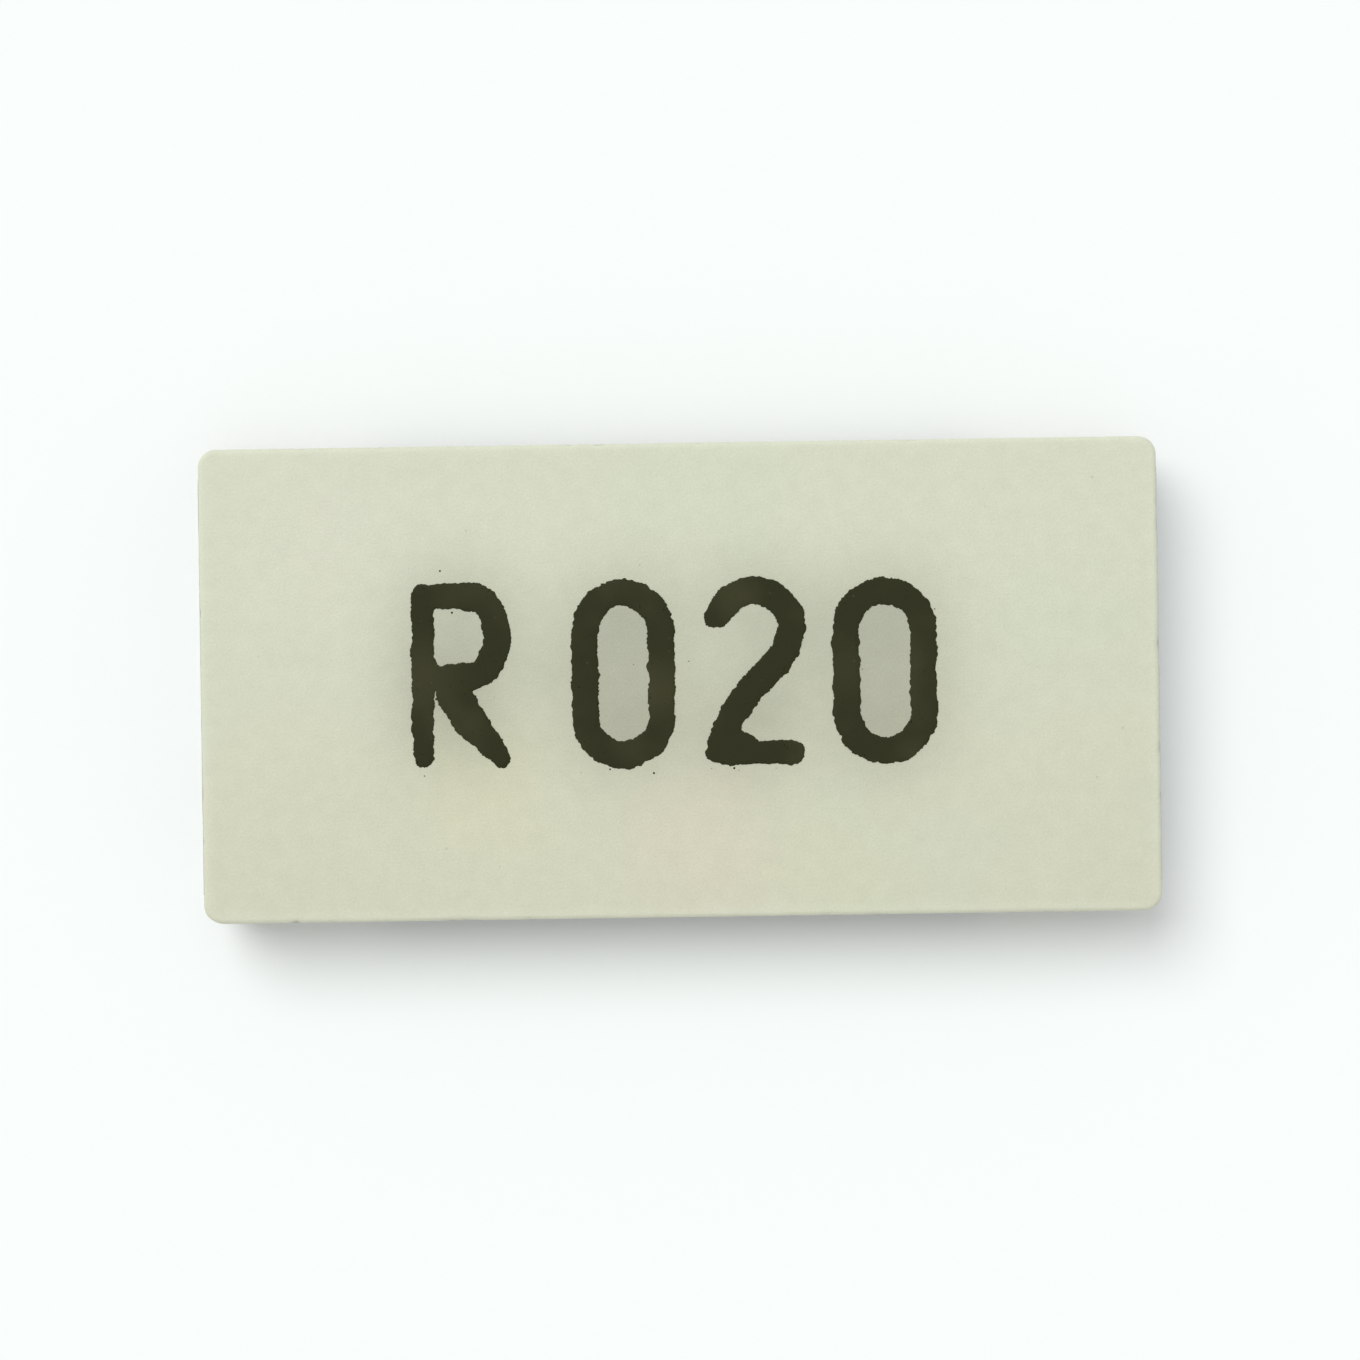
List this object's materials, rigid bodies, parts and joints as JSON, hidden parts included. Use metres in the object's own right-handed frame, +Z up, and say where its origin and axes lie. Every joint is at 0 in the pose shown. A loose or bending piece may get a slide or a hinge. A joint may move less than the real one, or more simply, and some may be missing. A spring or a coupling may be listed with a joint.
{
  "type": "current sense resistor",
  "caption": "Flat surface-mount current sense resistor: cream ceramic chip over a slit metal foil, with tinned pads underneath.",
  "frame": {"origin": "middle of the soldered underside, on the surface that the chip lies on", "axes": "+X along the long side, the way the marking reads, +Y across it towards the top of the marking, +Z up out of the marked ceramic face"},
  "size_m": [0.0064, 0.0032, 0.0008],
  "materials": {
    "alumina": "matte",
    "bonding_film": "satin",
    "foil_alloy": "satin",
    "overcoat_resin": "satin",
    "copper": "satin",
    "nickel": "satin",
    "matte_tin": "matte",
    "marking_ink": "matte"
  },
  "bodies": {
    "root": {"ceramic_substrate": "alumina", "bonding_film": "bonding_film", "resistance_foil": "foil_alloy", "protective_overcoat": "overcoat_resin", "copper_pad_left": "copper", "copper_pad_right": "copper", "nickel_barrier_left": "nickel", "nickel_barrier_right": "nickel", "tin_coat_left": "matte_tin", "tin_coat_right": "matte_tin"}
  },
  "joints": []
}
